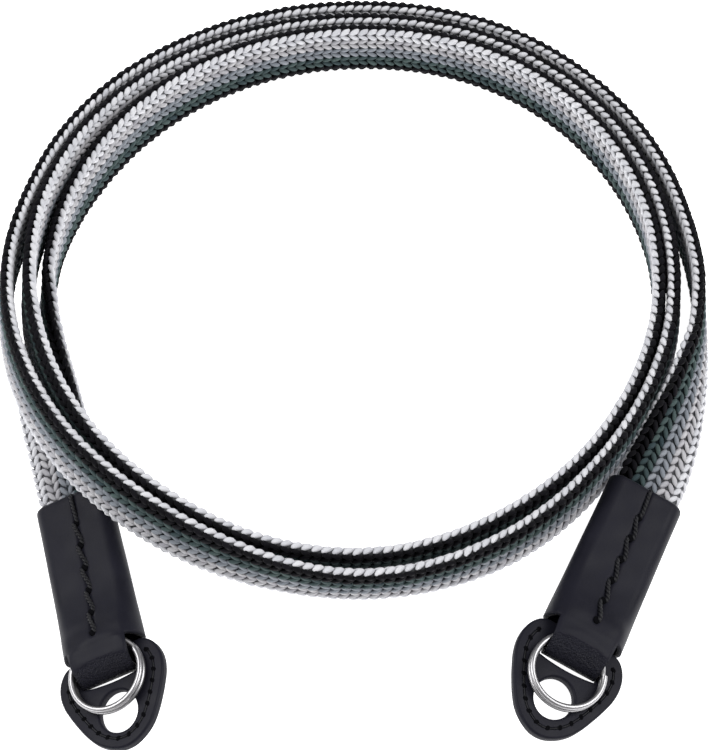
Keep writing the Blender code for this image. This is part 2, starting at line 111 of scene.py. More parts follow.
# roll in degrees; tabReach, ringPlace and flapLength from the sleeve's end; slotOpen beyond the
# fold; seam across the sleeve at its mouth and at its end
ends = {
    "left": {"station": 0, "outwards": -1, "roll": 23.5, "tabReach": 6.5, "ringPlace": 5.9,
             "flapLength": 20.8, "slotOpen": 0.42, "seam": (1.0, -0.2)},
    "right": {"station": -1, "outwards": 1, "roll": 16.0, "tabReach": 7.6, "ringPlace": 9.2,
              "flapLength": 23.0, "slotOpen": 0.65, "seam": (0.3, 0.5)},
}


def smoothThrough(rows, column, places):
    # values of a smooth curve through one column of a table
    xs = np.array([row[0] for row in rows], float)
    ys = np.array([row[column] for row in rows], float)
    slopes = np.gradient(ys, xs)
    places = np.atleast_1d(np.asarray(places, float))
    i = np.clip(np.searchsorted(xs, places) - 1, 0, len(xs) - 2)
    span = xs[i + 1] - xs[i]
    t = (places - xs[i]) / span
    return ((2 * t**3 - 3 * t**2 + 1) * ys[i] + (t**3 - 2 * t**2 + t) * span * slopes[i]
            + (3 * t**2 - 2 * t**3) * ys[i + 1] + (t**3 - t**2) * span * slopes[i + 1])


def runAlong(path):
    # length of the way to each point of a path, seen from above
    return np.concatenate([[0], np.cumsum(np.hypot(*np.diff(np.asarray(path)[:, :2], axis=0).T))])


def ringValue(angles, column):
    around = [(row[0] + turn,) + row[1:] for turn in (-360, 0, 360) for row in route["ring"]]
    return smoothThrough(around, column, np.mod(angles, 360))


def coilPoints(angles):
    # x, y, lean and lift for each winding angle
    angles = np.atleast_1d(np.asarray(angles, float))
    layer = route["thickness"] + route["turnGap"]
    spread = np.maximum(smoothThrough(route["spread"], 1, angles), 0)
    radius = route["coilRadius"] * ringValue(angles, 1) + layer * (angles / 360 + spread)
    lift = route["crossingHeight"] * np.maximum(smoothThrough(route["lift"], 1, angles), 0)
    compass = np.radians(180 - angles)
    return np.stack([radius * np.cos(compass), radius * np.sin(compass),
                     ringValue(angles, 2), lift], axis=1)


def tailPoints(angle, run, rows):
    # the same from where a tail leaves the coil to its sleeve
    x, y, _, lift = coilPoints(angle)[0]
    outward = np.array([x, y]) / math.hypot(x, y)
    points = []
    for share, step, lean in rows:
        place = np.array([x, y - run * share]) + outward * route["width"] * step
        points.append((place[0], place[1], lean, lift * (1 - share)))
    return np.array(points)


def restHeight(width, thickness, lean):
    # height of the middle of a leaning band that stands on the surface
    return thickness / 2 + (width - thickness) / 2 * np.abs(np.cos(np.radians(lean)))


def sleeveThickness():
    e = leatherEnds
    return route["thickness"] + 2 * (e["fitGap"] + e["wall"] - e["strapPress"])


def sleeveWidth():
    e = leatherEnds
    return route["width"] + 2 * (e["fitGap"] + e["wall"] - e["strapSqueeze"])


def ringHeight():
    return 2 * leatherEnds["ringWire"] + leatherEnds["ringCoilGap"]


def ringLine():
    # radius of the wire's middle line
    return (leatherEnds["ringDiameter"] - leatherEnds["ringWire"]) / 2


def loopTop():
    # the ring's loop, measured from the sleeve's middle
    e = leatherEnds
    return e["flapThickness"] / 2 - e["flapDrop"] + ringHeight() + e["loopRoom"]


def loopBottom():
    e = leatherEnds
    return -e["flapThickness"] / 2 - e["flapDrop"] - e["fitGap"]


def mouthHeight(roll):
    # height of the sleeve's middle at its mouth
    return float(restHeight(sleeveWidth(), sleeveThickness(), 90 - roll))


def fittingsHeight(roll):
    # the same at the sleeve's end, where the tab or the flap touches the surface
    e = leatherEnds
    turn = math.radians(roll)
    tab = e["tabWidth"] / 2 * math.sin(turn) + (e["wall"] - loopBottom()) * math.cos(turn)
    under = e["flapThickness"] / 2 + e["flapDrop"]
    return max(mouthHeight(roll), tab, e["flapWidth"] / 2 * math.sin(turn) + under * math.cos(turn))


def routeSamples(step):
    # places of the band's middle and its lean, every step millimetres
    lastAngle = 360 * route["turnsSeen"]
    left = tailPoints(0, route["leftTailRun"], route["leftTail"])
    right = tailPoints(lastAngle, route["rightTailRun"], route["rightTail"])
    coil = coilPoints(np.arange(0, lastAngle + 1, route["routeStep"]))
    points = np.concatenate([left[::-1], coil, right])
    run = runAlong(points)
    length = run[-1]
    s = length * np.arange(int(round(length / step)) + 1) / int(round(length / step))
    x, y, lean, lift = (smoothThrough(list(zip(run, points[:, c])), 1, s) for c in range(4))
    inSleeve = np.where(s < length / 2, mouthHeight(ends["left"]["roll"]),
                        mouthHeight(ends["right"]["roll"]))
    nearEnd = np.maximum(0, 1 - np.minimum(s, length - s) / route["heightEase"])
    ease = nearEnd**2 * (3 - 2 * nearEnd)
    z = (restHeight(route["width"], route["thickness"], lean) + lift) * (1 - ease) + inSleeve * ease
    return s, np.stack([x, y, z], axis=1), lean


def unit(v):
    return v / np.linalg.norm(v, axis=-1, keepdims=True)


def bandFrames(places, lean):
    # direction of run, across (up the band) and through (towards the coil's inside)
    ahead = np.concatenate([places[1:], places[-1:]])
    behind = np.concatenate([places[:1], places[:-1]])
    along = unit(ahead - behind)
    level = unit(along * [1, 1, 0])
    outward = np.stack([-level[:, 1], level[:, 0], np.zeros(len(level))], axis=1)
    turn = np.radians(lean)[:, None]
    across = outward * np.sin(turn) + np.array([0, 0, 1]) * np.cos(turn)
    across = unit(across - along * np.sum(across * along, axis=1, keepdims=True))
    return along, across, np.cross(along, across)


def sleeveFrame(place, along, across, outwards, roll):
    # where the sleeve begins, its run, its direction across and its face's
    level = unit(along * [1, 1, 0])
    rise = fittingsHeight(roll) - mouthHeight(roll)
    run = unit(level * leatherEnds["sleeveLength"] + np.array([0, 0, outwards * rise]))
    side = unit(across - run * np.dot(across, run))
    return place, run, side, np.cross(run, side)


# the part was moved so that its base is centred on the origin: the same move, read from the band
cadS, cadPlaces, cadLean = routeSamples(route["stationStep"])
cadAlong, cadAcross, cadThrough = bandFrames(cadPlaces, cadLean)
half = (route["width"] - route["thickness"]) / 2
extent = [cadPlaces + side * cadAcross * half for side in (-1, 1)]
lowest = np.min(np.concatenate(extent), axis=0) - route["thickness"] / 2
highest = np.max(np.concatenate(extent), axis=0) + route["thickness"] / 2
strapBox = np.array(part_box("strap")) / mm
shift = np.array([(strapBox[0][0] + strapBox[1][0] - lowest[0] - highest[0]) / 2,
                  strapBox[1][1] - highest[1],
                  strapBox[1][2] - highest[2]])
print("route matched to the frame, shift in mm:", np.round(shift, 2))

bandS, bandPlaces, bandLean = routeSamples(1.0)
bandAlong, bandAcross, bandThrough = bandFrames(bandPlaces, bandLean)
bandLength = float(bandS[-1])
sleeveFrames = {}
for side, row in ends.items():
    k = row["station"]
    sleeveFrames[side] = sleeveFrame(cadPlaces[k], cadAlong[k], cadAcross[k], row["outwards"],
                                     row["roll"])


# colours, nodes and materials
def linear(hexColour):
    values = [int(hexColour[i:i + 2], 16) / 255 for i in (1, 3, 5)]
    return tuple(v / 12.92 if v <= 0.04045 else ((v + 0.055) / 1.055) ** 2.4 for v in values) + (1.0,)


def addNode(tree, kind, settings=None, links=None):
    # links: input name or number -> output socket
    node = tree.nodes.new(kind)
    for key, value in (settings or {}).items():
        if hasattr(node, key):
            setattr(node, key, value)
        else:
            node.inputs[key].default_value = value
    for key, socket in (links or {}).items():
        tree.links.new(socket, node.inputs[key])
    return node


def newMaterial(name, colour, roughness, settings=None):
    material = bpy.data.materials.new(name)
    material.use_nodes = True
    tree = material.node_tree
    shader = tree.nodes["Principled BSDF"]
    shader.inputs["Base Color"].default_value = linear(colour)
    shader.inputs["Roughness"].default_value = roughness
    for key, value in (settings or {}).items():
        shader.inputs[key].default_value = value
    return material, tree, shader


yarn = {
    "fibrePitch": 0.16,         # between filament bundles, coarser than real so that it shows
    "fibreDepth": 0.08,
    "roughness": 0.78,
    "sheen": 0.03,
    # the colour of a stitch lies between the two
    "colours": {
        "yarnWhite": ("#dcdce0", "#c6c7cd"),
        "yarnPaleGrey": ("#c0bfc2", "#a4a3a9"),
        "yarnBlueGrey": ("#90949b", "#777d85"),
        "yarnTeal": ("#4a5857", "#344146"),
        "yarnBlack": ("#141318", "#0b0b0e"),
    },
}


def yarnMaterial(name):
    # textured polyester yarn, dyed and knitted: matt and slightly fuzzy, with the fine lines of its
    # filaments, and each stitch a little lighter or darker
    light, dark = yarn["colours"][name]
    material, tree, shader = newMaterial(name, light, yarn["roughness"],
                                         {"Sheen Weight": yarn["sheen"], "Sheen Roughness": 0.5,
                                          "IOR": 1.5, "Specular IOR Level": 0.08})
    tone = addNode(tree, "ShaderNodeAttribute", {"attribute_name": "tone"})
    place = addNode(tree, "ShaderNodeUVMap", {"uv_map": "fibre"})
    fibres = addNode(tree, "ShaderNodeTexWave",
                     {"bands_direction": "Y", "Scale": 1 / yarn["fibrePitch"] / 3,
                      "Distortion": 1.2, "Detail": 2.0, "Detail Scale": 1.5},
                     {"Vector": place.outputs["UV"]})
    mix = addNode(tree, "ShaderNodeMix", {"data_type": "RGBA"}, {"Factor": tone.outputs["Fac"]})
    mix.inputs[6].default_value = linear(light)
    mix.inputs[7].default_value = linear(dark)
    tree.links.new(mix.outputs[2], shader.inputs["Base Color"])
    bump = addNode(tree, "ShaderNodeBump", {"Strength": 0.35, "Distance": yarn["fibreDepth"] * mm},
                   {"Height": fibres.outputs["Fac"]})
    tree.links.new(bump.outputs["Normal"], shader.inputs["Normal"])
    return material


def addObject(name, data):
    thing = bpy.data.objects.new(name, data)
    bpy.context.scene.collection.objects.link(thing)
    return thing


def closedTubeFaces(rings, around):
    # faces between the rings of a tube's points, and one over each end
    faces = [(r * around + k, r * around + (k + 1) % around, (r + 1) * around + (k + 1) % around,
              (r + 1) * around + k) for r in range(rings - 1) for k in range(around)]
    return faces + [tuple(range(around))[::-1], tuple((rings - 1) * around + k for k in range(around))]


def meshPiece(name, points, faces, material):
    mesh = bpy.data.meshes.new(name)
    mesh.from_pydata(points, [], faces)
    mesh.shade_smooth()
    mesh.materials.append(material)
    piece = addObject(name, mesh)
    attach(piece, "root")
    return piece


knit = {
    "coursePitch": 2.0,         # along the band
    "wales": 10,                # round the tube
    "patternTurn": 0.05,        # the black and white border lies that far down the inner face
    "patternRoll": 0.38,        # and that much further on the far side, less on the near side
    "cornerFill": 0.20,         # the two legs on an edge stand out, so the edge is nearly square
    "legLength": 2.35,          # a stitch's leg, along the band
    "legStart": 0.10,           # its narrow end lies that far from the wale's middle
    "legRoot": -0.42,           # and that far down
    "legGirth": 3.6,
    "legOverlap": {-1: 0.05, 1: -0.10},     # how far its end passes the wale's border
    "legHalfWidth": 0.61,
    "legHalfThickness": 0.40,
    "legDepth": 0.34,           # leg's middle below the band's face
    "coreDepth": 0.58,
    "coreStep": 2.0,
    "corePoints": 40,           # round the section
    "coreShade": 0.20,          # share of the yarn's colour left in the holes, as painted shade
    "intoSleeve": 5.0,
    "drawnInFrom": -1.0,        # from the sleeve's mouth, where the knit is drawn in
    "drawnInOver": 5.0,
    "aroundLeg": 6,
    "uneven": {"size": 0.04, "slip": 0.05, "height": 0.02},     # spread from stitch to stitch
    "tone": (0.35, 0.3),        # middle and spread of the stitches' place between their two colours
    # share along the leg, share of its thickness, height of its middle: one leg's end lies over
    # the other's
    "legRings": {
        -1: [(0.07, 0.60, -0.28), (0.26, 0.92, -0.10), (0.50, 1.0, 0.02), (0.74, 0.88, 0.09),
             (0.93, 0.46, 0.08)],
        1: [(0.07, 0.60, -0.28), (0.26, 0.92, -0.10), (0.50, 1.0, 0.0), (0.74, 0.92, 0.02),
            (0.93, 0.56, -0.06)],
    },
    "legTip": {-1: -0.04, 1: -0.22},
    "seed": 7,
}


def bandPoints(s, across, through):
    # points in the band's own measures turned to places: inside a sleeve the band runs straight on
    s = np.asarray(s)
    inside = np.clip(s, 0, bandLength)
    columns = []
    for data in (bandPlaces, bandAcross, bandThrough):
        columns.append(np.stack([np.interp(inside, bandS, data[:, c]) for c in range(3)], axis=-1))
    place, up, inward = columns
    for side, limit in (("left", s < 0), ("right", s > bandLength)):
        origin, run, cross, face = sleeveFrames[side]
        beyond = s - (0 if side == "left" else bandLength)
        place = np.where(limit[..., None], origin + run * beyond[..., None], place)
        up = np.where(limit[..., None], cross, up)
        inward = np.where(limit[..., None], face, inward)
    points = place + up * across[..., None] + inward * through[..., None]
    return (points + shift) * mm


def sectionPoint(q, height, straight, radius):
    # place on a flat tube's section: q runs from the top edge's middle down the inner face
    quarter = math.pi / 2 * radius
    perimeter = 4 * straight + 4 * quarter
    q = np.mod(q, perimeter)
    outer = q > perimeter / 2
    q = np.where(outer, perimeter - q, q)
    top = q < quarter
    bottom = q > quarter + 2 * straight
    angle = np.where(top, q, np.where(bottom, q - 2 * straight, quarter)) / radius
    centre = np.where(top, straight, np.where(bottom, -straight, straight - (q - quarter)))
    reach = radius + height + knit["cornerFill"] * np.sin(2 * angle)**2 * (top | bottom)
    across = centre + reach * np.cos(angle) * (top | bottom)
    through = reach * np.where(top | bottom, np.sin(angle), 1)
    return across, np.where(outer, -through, through)


def squeezeAt(s):
    # share of the full width: the knit is drawn in where it enters a sleeve
    nearest = np.minimum(s, bandLength - s)
    ease = np.clip((nearest - knit["drawnInFrom"]) / knit["drawnInOver"], 0, 1)
    return 1 - 2 * leatherEnds["strapSqueeze"] / route["width"] * (1 - ease * ease * (3 - 2 * ease))


def patternTurnAt(s):
    # the knitted tube has rolled a little on the band
    nearest = np.clip(s, 0, bandLength)
    x, y = (np.interp(nearest, bandS, bandPlaces[:, c]) for c in (0, 1))
    return knit["patternTurn"] + knit["patternRoll"] * y / np.hypot(x, y)


def waleWidth(radius):
    return (4 * half + 2 * math.pi * radius) / knit["wales"]


def legTemplate(side, wale):
    # one stitch leg: (along, sideways, height, u, v) for each vertex, tip to tip
    start = np.array([0.0, side * knit["legStart"]])
    finish = np.array([knit["legLength"], side * (wale / 2 + knit["legOverlap"][side])])
    direction = unit(finish - start)
    sideways = np.array([-direction[1], direction[0]])
    rows = [(*start, knit["legRoot"], 0.5, 0.0)]
    n = knit["aroundLeg"]
    for share, size, rise in knit["legRings"][side]:
        middle = start + (finish - start) * share
        for k in range(n):
            turn = 2 * math.pi * k / n
            flat = sideways * knit["legHalfWidth"] * size * math.cos(turn)
            lift = knit["legHalfThickness"] * size * math.sin(turn)
            rows.append((middle[0] + flat[0], middle[1] + flat[1], rise + lift,
                         share * knit["legLength"], k / n * knit["legGirth"]))
    rows.append((*finish, knit["legTip"][side], knit["legLength"], 0.0))
    faces = []
    last = len(rows) - 1
    rings = len(knit["legRings"][side])
    for k in range(n):
        after = (k + 1) % n
        faces.append((0, 1 + after, 1 + k))
        faces.append((last, last - n + k, last - n + after))
    quads = [(1 + r * n + k, 1 + r * n + (k + 1) % n, 1 + (r + 1) * n + (k + 1) % n, 1 + (r + 1) * n + k)
             for r in range(rings - 1) for k in range(n)]
    return np.array(rows), faces, quads


def makeWales(name, columns):
    # all the stitches of one colour: the wales whose numbers are given
    rng = np.random.default_rng(knit["seed"] + columns[0])
    uneven = knit["uneven"]
    middleTone, toneSpread = knit["tone"]
    radius = route["thickness"] / 2 - knit["legDepth"]
    wale = waleWidth(radius)
    courses = np.arange(-knit["intoSleeve"], bandLength + knit["intoSleeve"] - knit["legLength"],
                        knit["coursePitch"])
    points, faces, tones, fibreUv = [], [], [], []
    base = 0
    for column in columns:
        for side in (-1, 1):
            rows, tips, quads = legTemplate(side, wale)
            count = len(courses)
            swell = 1 + uneven["size"] * rng.standard_normal((count, 1))
            s = courses[:, None] + rows[None, :, 0] + uneven["slip"] * rng.standard_normal((count, 1))
            q = patternTurnAt(s) + (column + 0.5) * wale + rows[None, :, 1] * swell
            height = rows[None, :, 2] * swell + uneven["height"] * rng.standard_normal((count, 1))
            across, through = sectionPoint(q, height, half, radius)
            across = across * squeezeAt(s)
            places = bandPoints(s, across, through).reshape(-1, 3)
            points.append(places)
            n = len(rows)
            starts = base + n * np.arange(count)
            for shape in (tips, quads):
                block = (np.array(shape)[None, :, :] + starts[:, None, None]).reshape(-1, len(shape[0]))
                faces += block[:, ::-1].tolist()    # outward, as the band's measures are left-handed
            tone = np.clip(middleTone + toneSpread * rng.standard_normal(count), 0, 1)
            tones.append(np.repeat(tone, n))
            uv = np.tile(rows[:, 3:5], (count, 1)) + np.repeat(rng.random((count, 1)) * 9, n, axis=0)
            fibreUv.append(uv)
            base += n * count
    points = np.concatenate(points)
    piece = meshPiece("knit_" + name, points.tolist(), faces, yarnMaterial(name))
    mesh = piece.data
    mesh.attributes.new("tone", "FLOAT", "POINT").data.foreach_set(
        "value", np.concatenate(tones).astype(np.float32))
    layer = mesh.uv_layers.new(name="fibre")
    loops = np.empty(len(mesh.loops), np.int32)
    mesh.loops.foreach_get("vertex_index", loops)
    layer.data.foreach_set("uv", np.concatenate(fibreUv)[loops].astype(np.float32).ravel())


def makeCore():
    # the inside of the knit, seen in the small holes between the stitches: a matt tube in the colours of
    # the polyester yarn round it, darkened to painted shade so that the holes look deep
    radius = route["thickness"] / 2 - knit["coreDepth"]
    material, tree, shader = newMaterial("yarnInShade", "#17171b", 0.95, {"Specular IOR Level": 0.0})
    paintedCoreShade = addNode(tree, "ShaderNodeAttribute", {"attribute_name": "paintedCoreShade"})
    tree.links.new(paintedCoreShade.outputs["Color"], shader.inputs["Base Color"])
    s = np.arange(-knit["intoSleeve"], bandLength + knit["intoSleeve"], knit["coreStep"])
    perimeter = 4 * half + 2 * math.pi * radius
    q = np.linspace(0, perimeter, knit["corePoints"], endpoint=False)
    across, through = sectionPoint(q, 0, half, radius)
    grid = bandPoints(np.repeat(s[:, None], len(q), axis=1), across[None, :] * squeezeAt(s)[:, None],
                      np.repeat(through[None, :], len(s), axis=0))
    piece = meshPiece("knit_core", grid.reshape(-1, 3).tolist(), closedTubeFaces(len(s), len(q)), material)
    shades = np.array([linear(dark) for light, dark in yarn["colours"].values()])
    wale = np.floor((q[None, :] - patternTurnAt(s)[:, None]) / perimeter * knit["wales"]).astype(int)
    wale %= len(shades)
    # the yarn's dark colours darkened further: painted shade in the holes
    shades[:, :3] *= knit["coreShade"]
    piece.data.attributes.new("paintedCoreShade", "FLOAT_COLOR", "POINT").data.foreach_set(
        "color", shades[wale].astype(np.float32).ravel())
    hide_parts("strap")


makeCore()
# the colours follow each other twice round the tube, from the top edge's middle down the inner
# face and up the outer one
for first, colourName in enumerate(yarn["colours"]):
    makeWales(colourName, (first, first + len(yarn["colours"])))
print("knit laid:", int(bandLength), "mm of band")


# small helpers for the leather ends
def smoothStep(t):
    t = np.clip(t, 0, 1)
    return t * t * (3 - 2 * t)


def tubeAlong(path, radius, sides):
    # points and faces of a closed round tube along a path of places
    path = np.asarray(path, float)
    along = unit(np.gradient(path, axis=0))
    normal = unit(np.cross(along[0], [0.3, 0.5, 0.81]))
    rows = []
    for place, direction in zip(path, along):
        normal = unit(normal - direction * np.dot(normal, direction))
        side = np.cross(direction, normal)
        turn = 2 * np.pi * np.arange(sides)[:, None] / sides
        rows.append(place + radius * (np.cos(turn) * normal + np.sin(turn) * side))
    return np.concatenate(rows), closedTubeFaces(len(path), sides)


def joinShapes(shapes):
    # one list of points and faces out of many
    points, faces, base = [], [], 0
    for shapePoints, shapeFaces in shapes:
        points.append(np.asarray(shapePoints))
        faces += [tuple(base + k for k in face) for face in shapeFaces]
        base += len(shapePoints)
    return np.concatenate(points), faces


def ballAt(place, radii, turn=0.0, rings=6, sides=10):
    # a small flattened ball, its long axis turned about Z
    points = []
    for r in range(rings + 1):
        tilt = math.pi * r / rings
        for k in range(sides):
            angle = 2 * math.pi * k / sides
            x = radii[0] * math.sin(tilt) * math.cos(angle)
            y = radii[1] * math.sin(tilt) * math.sin(angle)
            points.append((place[0] + x * math.cos(turn) - y * math.sin(turn),
                           place[1] + x * math.sin(turn) + y * math.cos(turn),
                           place[2] + radii[2] * math.cos(tilt)))
    faces = [(r * sides + k, (r + 1) * sides + k, (r + 1) * sides + (k + 1) % sides,
              r * sides + (k + 1) % sides) for r in range(rings) for k in range(sides)]
    return np.array(points), faces


def endMatrix(side):
    # X runs on out of the sleeve's end, Z is up out of its top face
    origin, along, across, _ = sleeveFrames[side]
    run = along * ends[side]["outwards"]
    up = np.cross(run, across)
    up = up if up[2] > 0 else -up
    matrix = Matrix(np.array([run, np.cross(up, run), up]).T.tolist()).to_4x4()
    matrix.translation = (origin + run * leatherEnds["sleeveLength"] + shift) * mm
    return matrix


def endPiece(name, side, points, faces, material):
    piece = meshPiece(name, (np.asarray(points) * mm).tolist(), faces, material)
    piece.matrix_world = endMatrix(side)
    return piece


leatherLook = {
    "colours": ("#15151c", "#1d1d27"),
    "edgeColours": ("#16161d", "#22222b"),
    "roughness": 0.46,
    "edgeRoughness": 0.6,
    "grain": 0.32,              # size of the pores, coarser than real so that they show
    "grainDepth": 0.05,
    "creaseGrain": 0.42,        # pebbles where the leather is bent
    "creaseDepth": 0.3,
    "mottle": 5.0,              # size of the lighter and darker patches
}


def leatherMaterial(name, colours, roughness):
    # drum-dyed calf leather, lightly waxed: fine pores, a soft broad gloss, pebbles in the bend
    material, tree, shader = newMaterial(name, colours[0], roughness,
                                         {"IOR": 1.45, "Specular IOR Level": 0.14, "Sheen Weight": 0.02,
                                          "Sheen Roughness": 0.4})
    place = addNode(tree, "ShaderNodeTexCoord")
    mottle = addNode(tree, "ShaderNodeTexNoise", {"Scale": 1000 / leatherLook["mottle"], "Detail": 4.0},
                     {"Vector": place.outputs["Object"]})
    mix = addNode(tree, "ShaderNodeMix", {"data_type": "RGBA"}, {"Factor": mottle.outputs["Fac"]})
    mix.inputs[6].default_value = linear(colours[0])
    mix.inputs[7].default_value = linear(colours[1])
    tree.links.new(mix.outputs[2], shader.inputs["Base Color"])
    gloss = addNode(tree, "ShaderNodeMapRange",
                    {"From Min": 0.3, "From Max": 0.7, "To Min": roughness - 0.06,
                     "To Max": roughness + 0.08}, {"Value": mottle.outputs["Fac"]})
    tree.links.new(gloss.outputs["Result"], shader.inputs["Roughness"])
    pores = addNode(tree, "ShaderNodeTexVoronoi", {"Scale": 1000 / leatherLook["grain"]},
                    {"Vector": place.outputs["Object"]})
    pebbles = addNode(tree, "ShaderNodeTexVoronoi", {"Scale": 1000 / leatherLook["creaseGrain"]},
                      {"Vector": place.outputs["Object"]})
    crease = addNode(tree, "ShaderNodeAttribute", {"attribute_name": "crease"})
    creased = addNode(tree, "ShaderNodeMath", {"operation": "MULTIPLY"})
    tree.links.new(crease.outputs["Fac"], creased.inputs[0])
    tree.links.new(pebbles.outputs["Distance"], creased.inputs[1])
    fine = addNode(tree, "ShaderNodeBump",
                   {"Strength": 0.20, "Distance": leatherLook["grainDepth"] * mm},
                   {"Height": pores.outputs["Distance"]})
    coarse = addNode(tree, "ShaderNodeBump",
                     {"Strength": 1.0, "Distance": leatherLook["creaseDepth"] * mm, "invert": True},
                     {"Height": creased.outputs["Value"], "Normal": fine.outputs["Normal"]})
    tree.links.new(coarse.outputs["Normal"], shader.inputs["Normal"])
    return material


threadLook = {
    "colour": "#0f0f14",
    "fibre": 0.25,              # size of its fine unevenness
    "fibreDepth": 0.05,
}


def threadMaterial():
    # waxed polyester thread, twisted from two plies: black, with small soft lights on the plies
    material, tree, shader = newMaterial("waxedThread", threadLook["colour"], 0.5,
                                         {"Specular IOR Level": 0.3})
    fibres = addNode(tree, "ShaderNodeTexNoise", {"Scale": 1000 / threadLook["fibre"], "Detail": 3.0})
    bump = addNode(tree, "ShaderNodeBump",
                   {"Strength": 0.3, "Distance": threadLook["fibreDepth"] * mm},
                   {"Height": fibres.outputs["Fac"]})
    tree.links.new(bump.outputs["Normal"], shader.inputs["Normal"])
    return material


leather = leatherMaterial("waxedCalfLeather", leatherLook["colours"], leatherLook["roughness"])
# the same leather where it is cut, rubbed smooth: a little lighter and duller than its face
leatherEdge = leatherMaterial("burnishedLeatherEdge", leatherLook["edgeColours"],
                              leatherLook["edgeRoughness"])
thread = threadMaterial()
# painted shade in a hole made with an awl: a nearly black fill, no gloss
holeShade = newMaterial("awlHoleShade", "#08080b", 0.9, {"Specular IOR Level": 0.05})[0]

sleeve = {
    "rowPitch": 0.3,            # of the mesh
    "topColumns": 61,
    "arcColumns": 13,
    "bottomColumns": 15,
    # share of the length from the mouth, share of the width, share of the swelling over the ring
    "sections": [(0.0, 0.98, 0.0), (0.25, 0.985, 0.0), (0.50, 1.0, 0.0), (0.70, 1.01, 0.10),
                 (0.82, 1.02, 0.42), (0.91, 1.03, 0.85), (1.0, 1.035, 1.0)],
    "softEdge": 0.35,           # that much the mouth's rim is drawn in
    "softEdgeRun": 0.25,
    "tabHalfWidth": 6.9,
    "tabFoldHalfWidth": 5.75,
    "tabTurnRows": 34,          # of the mesh round the fold
    "leatherShare": 0.85,       # of the wall, so that the knit shows free of it
    "creaseStart": 3.2,         # the bent leather's pebbles start there, further out at the sides
    "creaseArch": 1.1,
    "creaseFade": 0.7,
    "bendStart": 0.30,          # share of the fold's reach
    "seamDepth": 0.30,
    "seamHalfWidth": 0.45,
    "seamEnd": 0.3,             # before the last hole
    "seamFade": 0.6,
    "stitchPitch": 5.1,
    "lastStitch": 2.2,          # from the sleeve's end
    "stitches": 6,
    "holeDepth": 0.7,
    "holeRadius": 0.50,
    "holeBall": (0.85, 0.55, 0.24),     # half sizes of the painted shade in a hole
    "holeTurn": 0.5,            # radians, as the awl is held askew
    "ringRidge": 0.12,          # the wire's mark in the leather over it
    "ringRidgeWidth": 0.8,
    "ringRidgeHalfSpan": 6.6,
    "waveHeight": 0.035,        # the leather isn't quite even
}


def seamLine(side, x):
    # the seam's place across the sleeve
    atMouth, atEnd = ends[side]["seam"]
    return atEnd + (atMouth - atEnd) * (-np.asarray(x) / leatherEnds["sleeveLength"])


def stitchPlaces(side):
    first = -sleeve["lastStitch"]
    return [(first - k * sleeve["stitchPitch"], float(seamLine(side, first - k * sleeve["stitchPitch"])))
            for k in range(sleeve["stitches"])]


def topRelief(side, x, y):
    # what is added to the smooth top face: seam groove, stitch holes, mark of the ring
    past = smoothStep((x + sleeve["lastStitch"] - sleeve["seamEnd"]) / sleeve["seamFade"])
    groove = np.exp(-((y - seamLine(side, x)) / sleeve["seamHalfWidth"])**2) * (1 - past)
    relief = -sleeve["seamDepth"] * groove
    for holeX, holeY in stitchPlaces(side):
        relief = relief - sleeve["holeDepth"] * np.exp(-((x - holeX)**2 + (y - holeY)**2)
                                                       / sleeve["holeRadius"]**2)
    radius = np.hypot(x - ends[side]["ringPlace"], y)
    overWire = np.exp(-((radius - ringLine()) / sleeve["ringRidgeWidth"])**2)
    seen = (x < ends[side]["ringPlace"]) * (np.abs(y) < sleeve["ringRidgeHalfSpan"])
    relief = relief + sleeve["ringRidge"] * overWire * seen
    waves = np.sin(x * 0.9 + 1.3) * np.sin(y * 0.7 + 0.4) + np.sin(x * 0.37 - y * 0.8)
    return relief + sleeve["waveHeight"] * waves


def creaseShare(x, y):
    # how much the leather is pebbled there
    begin = sleeve["creaseStart"] + sleeve["creaseArch"] * (np.asarray(y) / sleeve["tabHalfWidth"])**2
    return smoothStep((x - begin) / sleeve["creaseFade"])


def bakeModifiers(piece):
    bpy.context.view_layer.update()
    depsgraph = bpy.context.evaluated_depsgraph_get()
    mesh = bpy.data.meshes.new_from_object(piece.evaluated_get(depsgraph))
    piece.modifiers.clear()
    piece.data = mesh


def sleeveSwelling():
    # the sleeve's end is that much higher than its middle, as the ring's loop is in it
    return max(loopTop() + leatherEnds["wall"] - sleeveThickness() / 2, 0)


def tabLine(reach, topZ, underZ):
    # the tab seen from the side: out over the ring, round the fold and back below the sleeve
    bend = sleeve["bendStart"] * reach
    bottomZ = loopBottom() - leatherEnds["wall"]
    line = [(s * bend, topZ) for s in np.linspace(0.15, 0.85, 5)]
    for turn in np.linspace(math.pi / 2, -math.pi / 2, sleeve["tabTurnRows"]):
        line.append((bend + (reach - bend) * math.cos(turn),
                     (topZ + bottomZ) / 2 + (topZ - bottomZ) / 2 * math.sin(turn)))
    return line + [(0.15 * reach, bottomZ), (-1.2, underZ - 0.1), (-2.4, underZ + 0.3)]


